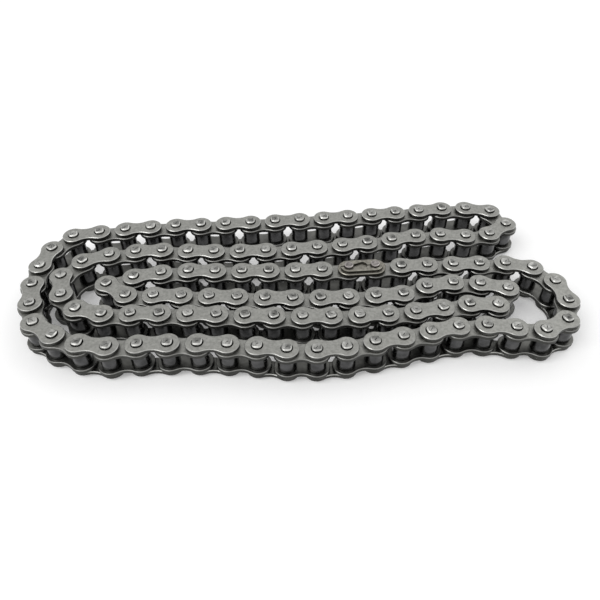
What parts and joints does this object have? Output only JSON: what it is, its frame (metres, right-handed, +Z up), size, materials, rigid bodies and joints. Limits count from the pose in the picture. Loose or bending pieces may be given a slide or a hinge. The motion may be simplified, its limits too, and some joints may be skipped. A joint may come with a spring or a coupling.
{
  "type": "roller chain",
  "caption": "Closed roller chain with riveted outer links, inner roller links and a clip-type connecting link, coiled flat on its side.",
  "frame": {"origin": "middle of the chain's box, on the surface that the chain lies on", "axes": "+Z up along every pin, +X along the rows towards the right of the picture, +Y away from the viewer"},
  "size_m": [0.2586, 0.1118, 0.0194],
  "materials": {
    "link_steel": "satin dark steel, lightly oiled",
    "plate_steel": "satin dark steel, lightly oiled",
    "pin_steel": "bright riveted ends",
    "bush_steel": "dark ground steel",
    "roller_steel": "dark hardened steel",
    "connecting_steel": "bronze-tinted tempered steel"
  },
  "bodies": {
    "root": {"nest_outer_plates_upper": "plate_steel", "nest_outer_plates_lower": "plate_steel", "nest_inner_plates_upper": "plate_steel", "nest_inner_plates_lower": "plate_steel", "nest_pins": "pin_steel", "nest_bushes": "bush_steel", "nest_rollers": "roller_steel", "connecting_pin_plate": "connecting_steel", "connecting_pins": "connecting_steel", "connecting_cover_plate": "connecting_steel"},
    "clip": {"spring_clip": "connecting_steel"},
    "roller_1": {"free_roller_1": "roller_steel"},
    "roller_2": {"free_roller_2": "roller_steel"},
    "roller_3": {"free_roller_3": "roller_steel"},
    "roller_4": {"free_roller_4": "roller_steel"},
    "inner_link_007": {"inner_link_007": "link_steel"},
    "outer_link_008": {"outer_link_008": "link_steel"},
    "inner_link_009": {"inner_link_009": "link_steel"},
    "outer_link_010": {"outer_link_010": "link_steel"},
    "inner_link_011": {"inner_link_011": "link_steel"},
    "outer_link_012": {"outer_link_012": "link_steel"},
    "inner_link_013": {"inner_link_013": "link_steel"},
    "outer_link_014": {"outer_link_014": "link_steel"},
    "inner_link_015": {"inner_link_015": "link_steel"},
    "outer_link_016": {"outer_link_016": "link_steel"},
    "inner_link_017": {"inner_link_017": "link_steel"},
    "outer_link_018": {"outer_link_018": "link_steel"},
    "inner_link_019": {"inner_link_019": "link_steel"},
    "outer_link_020": {"outer_link_020": "link_steel"},
    "inner_link_021": {"inner_link_021": "link_steel"},
    "outer_link_022": {"outer_link_022": "link_steel"},
    "inner_link_023": {"inner_link_023": "link_steel"},
    "outer_link_024": {"outer_link_024": "link_steel"},
    "inner_link_025": {"inner_link_025": "link_steel"},
    "outer_link_026": {"outer_link_026": "link_steel"},
    "inner_link_027": {"inner_link_027": "link_steel"},
    "outer_link_028": {"outer_link_028": "link_steel"},
    "inner_link_029": {"inner_link_029": "link_steel"},
    "inner_link_051": {"inner_link_051": "link_steel"},
    "outer_link_050": {"outer_link_050": "link_steel"},
    "inner_link_049": {"inner_link_049": "link_steel"},
    "outer_link_048": {"outer_link_048": "link_steel"},
    "inner_link_047": {"inner_link_047": "link_steel"},
    "outer_link_046": {"outer_link_046": "link_steel"},
    "inner_link_045": {"inner_link_045": "link_steel"},
    "outer_link_044": {"outer_link_044": "link_steel"},
    "inner_link_043": {"inner_link_043": "link_steel"},
    "outer_link_042": {"outer_link_042": "link_steel"},
    "inner_link_041": {"inner_link_041": "link_steel"},
    "outer_link_040": {"outer_link_040": "link_steel"},
    "inner_link_039": {"inner_link_039": "link_steel"},
    "outer_link_038": {"outer_link_038": "link_steel"},
    "inner_link_037": {"inner_link_037": "link_steel"},
    "outer_link_036": {"outer_link_036": "link_steel"},
    "inner_link_035": {"inner_link_035": "link_steel"},
    "outer_link_034": {"outer_link_034": "link_steel"},
    "inner_link_033": {"inner_link_033": "link_steel"},
    "outer_link_032": {"outer_link_032": "link_steel"},
    "inner_link_031": {"inner_link_031": "link_steel"},
    "outer_link_030": {"outer_link_030": "link_steel"}
  },
  "joints": [
    {"name": "clip_slide", "type": "slide", "parent": "root", "child": "clip", "axis": [0.9946, 0.1041, 0], "range_m": [0, 0.0055]},
    {"name": "roller_1_spin", "type": "hinge", "parent": "root", "child": "roller_1", "pos_m": [0.01104, -0.00001, 0.00924], "axis": [0, 0, 1], "continuous": true},
    {"name": "roller_2_spin", "type": "hinge", "parent": "root", "child": "roller_2", "pos_m": [0.0237, 0.00096, 0.00924], "axis": [0, 0, 1], "continuous": true},
    {"name": "roller_3_spin", "type": "hinge", "parent": "root", "child": "roller_3", "pos_m": [0.03633, 0.00228, 0.00924], "axis": [0, 0, 1], "continuous": true},
    {"name": "roller_4_spin", "type": "hinge", "parent": "root", "child": "roller_4", "pos_m": [0.04898, 0.00345, 0.00924], "axis": [0, 0, 1], "continuous": true},
    {"name": "pivot_007", "type": "hinge", "parent": "root", "child": "inner_link_007", "pos_m": [0.11202, 0.00358, 0.00924], "axis": [0, 0, -1], "range_deg": [-30, 0]},
    {"name": "pivot_008", "type": "hinge", "parent": "inner_link_007", "child": "outer_link_008", "pos_m": [0.12057, -0.00581, 0.00924], "axis": [0, 0, 1], "range_deg": [0, 30]},
    {"name": "pivot_009", "type": "hinge", "parent": "outer_link_008", "child": "inner_link_009", "pos_m": [0.12338, -0.0182, 0.00924], "axis": [0, 0, -1], "range_deg": [-30, 0]},
    {"name": "pivot_010", "type": "hinge", "parent": "inner_link_009", "child": "outer_link_010", "pos_m": [0.11974, -0.03036, 0.00924], "axis": [0, 0, 1], "range_deg": [0, 30]},
    {"name": "pivot_011", "type": "hinge", "parent": "outer_link_010", "child": "inner_link_011", "pos_m": [0.10868, -0.0366, 0.00924], "axis": [0, 0, -1], "range_deg": [-30, 0]},
    {"name": "pivot_012", "type": "hinge", "parent": "inner_link_011", "child": "outer_link_012", "pos_m": [0.09602, -0.03562, 0.00924], "axis": [0, 0, 1], "range_deg": [0, 30]},
    {"name": "pivot_013", "type": "hinge", "parent": "outer_link_012", "child": "inner_link_013", "pos_m": [0.08338, -0.03442, 0.00924], "axis": [0, 0, -1], "range_deg": [-30, 0]},
    {"name": "pivot_014", "type": "hinge", "parent": "inner_link_013", "child": "outer_link_014", "pos_m": [0.07072, -0.03542, 0.00924], "axis": [0, 0, 1], "range_deg": [0, 30]},
    {"name": "pivot_015", "type": "hinge", "parent": "outer_link_014", "child": "inner_link_015", "pos_m": [0.05842, -0.0386, 0.00924], "axis": [0, 0, -1], "range_deg": [-30, 0]},
    {"name": "pivot_016", "type": "hinge", "parent": "inner_link_015", "child": "outer_link_016", "pos_m": [0.04612, -0.04178, 0.00924], "axis": [0, 0, 1], "range_deg": [0, 30]},
    {"name": "pivot_017", "type": "hinge", "parent": "outer_link_016", "child": "inner_link_017", "pos_m": [0.03383, -0.04496, 0.00924], "axis": [0, 0, -1], "range_deg": [-30, 0]},
    {"name": "pivot_018", "type": "hinge", "parent": "inner_link_017", "child": "outer_link_018", "pos_m": [0.02153, -0.04814, 0.00924], "axis": [0, 0, 1], "range_deg": [0, 30]},
    {"name": "pivot_019", "type": "hinge", "parent": "outer_link_018", "child": "inner_link_019", "pos_m": [0.00894, -0.0498, 0.00924], "axis": [0, 0, -1], "range_deg": [-30, 0]},
    {"name": "pivot_020", "type": "hinge", "parent": "inner_link_019", "child": "outer_link_020", "pos_m": [-0.00376, -0.04992, 0.00924], "axis": [0, 0, 1], "range_deg": [0, 30]},
    {"name": "pivot_021", "type": "hinge", "parent": "outer_link_020", "child": "inner_link_021", "pos_m": [-0.01638, -0.0485, 0.00924], "axis": [0, 0, -1], "range_deg": [-30, 0]},
    {"name": "pivot_022", "type": "hinge", "parent": "inner_link_021", "child": "outer_link_022", "pos_m": [-0.02905, -0.04765, 0.00924], "axis": [0, 0, 1], "range_deg": [0, 30]},
    {"name": "pivot_023", "type": "hinge", "parent": "outer_link_022", "child": "inner_link_023", "pos_m": [-0.04175, -0.04737, 0.00924], "axis": [0, 0, -1], "range_deg": [-30, 0]},
    {"name": "pivot_024", "type": "hinge", "parent": "inner_link_023", "child": "outer_link_024", "pos_m": [-0.05444, -0.04767, 0.00924], "axis": [0, 0, 1], "range_deg": [0, 30]},
    {"name": "pivot_025", "type": "hinge", "parent": "outer_link_024", "child": "inner_link_025", "pos_m": [-0.06711, -0.04854, 0.00924], "axis": [0, 0, -1], "range_deg": [-30, 0]},
    {"name": "pivot_026", "type": "hinge", "parent": "inner_link_025", "child": "outer_link_026", "pos_m": [-0.07973, -0.04998, 0.00924], "axis": [0, 0, 1], "range_deg": [0, 30]},
    {"name": "pivot_027", "type": "hinge", "parent": "outer_link_026", "child": "inner_link_027", "pos_m": [-0.09234, -0.04845, 0.00924], "axis": [0, 0, -1], "range_deg": [-30, 0]},
    {"name": "pivot_028", "type": "hinge", "parent": "inner_link_027", "child": "outer_link_028", "pos_m": [-0.10424, -0.04403, 0.00924], "axis": [0, 0, 1], "range_deg": [0, 30]},
    {"name": "pivot_029", "type": "hinge", "parent": "outer_link_028", "child": "inner_link_029", "pos_m": [-0.11479, -0.03695, 0.00924], "axis": [0, 0, -1], "range_deg": [-30, 0]},
    {"name": "pivot_052", "type": "hinge", "parent": "root", "child": "inner_link_051", "pos_m": [0.10609, 0.03689, 0.00924], "axis": [0, 0, 1], "range_deg": [-30, 0]},
    {"name": "pivot_051", "type": "hinge", "parent": "inner_link_051", "child": "outer_link_050", "pos_m": [0.09981, 0.04794, 0.00924], "axis": [0, 0, -1], "range_deg": [0, 30]},
    {"name": "pivot_050", "type": "hinge", "parent": "outer_link_050", "child": "inner_link_049", "pos_m": [0.08728, 0.04998, 0.00924], "axis": [0, 0, 1], "range_deg": [-30, 0]},
    {"name": "pivot_049", "type": "hinge", "parent": "inner_link_049", "child": "outer_link_048", "pos_m": [0.07459, 0.04937, 0.00924], "axis": [0, 0, -1], "range_deg": [0, 30]},
    {"name": "pivot_048", "type": "hinge", "parent": "outer_link_048", "child": "inner_link_047", "pos_m": [0.06208, 0.04721, 0.00924], "axis": [0, 0, 1], "range_deg": [-30, 0]},
    {"name": "pivot_047", "type": "hinge", "parent": "inner_link_047", "child": "outer_link_046", "pos_m": [0.04954, 0.04516, 0.00924], "axis": [0, 0, -1], "range_deg": [0, 30]},
    {"name": "pivot_046", "type": "hinge", "parent": "outer_link_046", "child": "inner_link_045", "pos_m": [0.03699, 0.04322, 0.00924], "axis": [0, 0, 1], "range_deg": [-30, 0]},
    {"name": "pivot_045", "type": "hinge", "parent": "inner_link_045", "child": "outer_link_044", "pos_m": [0.02443, 0.04139, 0.00924], "axis": [0, 0, -1], "range_deg": [0, 30]},
    {"name": "pivot_044", "type": "hinge", "parent": "outer_link_044", "child": "inner_link_043", "pos_m": [0.01184, 0.03968, 0.00924], "axis": [0, 0, 1], "range_deg": [-30, 0]},
    {"name": "pivot_043", "type": "hinge", "parent": "inner_link_043", "child": "outer_link_042", "pos_m": [-0.00075, 0.03807, 0.00924], "axis": [0, 0, -1], "range_deg": [0, 30]},
    {"name": "pivot_042", "type": "hinge", "parent": "outer_link_042", "child": "inner_link_041", "pos_m": [-0.01337, 0.03657, 0.00924], "axis": [0, 0, 1], "range_deg": [-30, 0]},
    {"name": "pivot_041", "type": "hinge", "parent": "inner_link_041", "child": "outer_link_040", "pos_m": [-0.02599, 0.03518, 0.00924], "axis": [0, 0, -1], "range_deg": [0, 30]},
    {"name": "pivot_040", "type": "hinge", "parent": "outer_link_040", "child": "inner_link_039", "pos_m": [-0.03863, 0.0339, 0.00924], "axis": [0, 0, 1], "range_deg": [-30, 0]},
    {"name": "pivot_039", "type": "hinge", "parent": "inner_link_039", "child": "outer_link_038", "pos_m": [-0.05127, 0.03273, 0.00924], "axis": [0, 0, -1], "range_deg": [0, 30]},
    {"name": "pivot_038", "type": "hinge", "parent": "outer_link_038", "child": "inner_link_037", "pos_m": [-0.06393, 0.03168, 0.00924], "axis": [0, 0, 1], "range_deg": [-30, 0]},
    {"name": "pivot_037", "type": "hinge", "parent": "inner_link_037", "child": "outer_link_036", "pos_m": [-0.07653, 0.03011, 0.00924], "axis": [0, 0, -1], "range_deg": [0, 30]},
    {"name": "pivot_036", "type": "hinge", "parent": "outer_link_036", "child": "inner_link_035", "pos_m": [-0.08906, 0.02804, 0.00924], "axis": [0, 0, 1], "range_deg": [-30, 0]},
    {"name": "pivot_035", "type": "hinge", "parent": "inner_link_035", "child": "outer_link_034", "pos_m": [-0.1015, 0.02547, 0.00924], "axis": [0, 0, -1], "range_deg": [0, 30]},
    {"name": "pivot_034", "type": "hinge", "parent": "outer_link_034", "child": "inner_link_033", "pos_m": [-0.11382, 0.0224, 0.00924], "axis": [0, 0, 1], "range_deg": [-30, 0]},
    {"name": "pivot_033", "type": "hinge", "parent": "inner_link_033", "child": "outer_link_032", "pos_m": [-0.12144, 0.01224, 0.00924], "axis": [0, 0, -1], "range_deg": [0, 30]},
    {"name": "pivot_032", "type": "hinge", "parent": "outer_link_032", "child": "inner_link_031", "pos_m": [-0.12338, -0.00031, 0.00924], "axis": [0, 0, 1], "range_deg": [-30, 0]},
    {"name": "pivot_031", "type": "hinge", "parent": "inner_link_031", "child": "outer_link_030", "pos_m": [-0.1229, -0.01301, 0.00924], "axis": [0, 0, -1], "range_deg": [0, 30]}
  ]
}
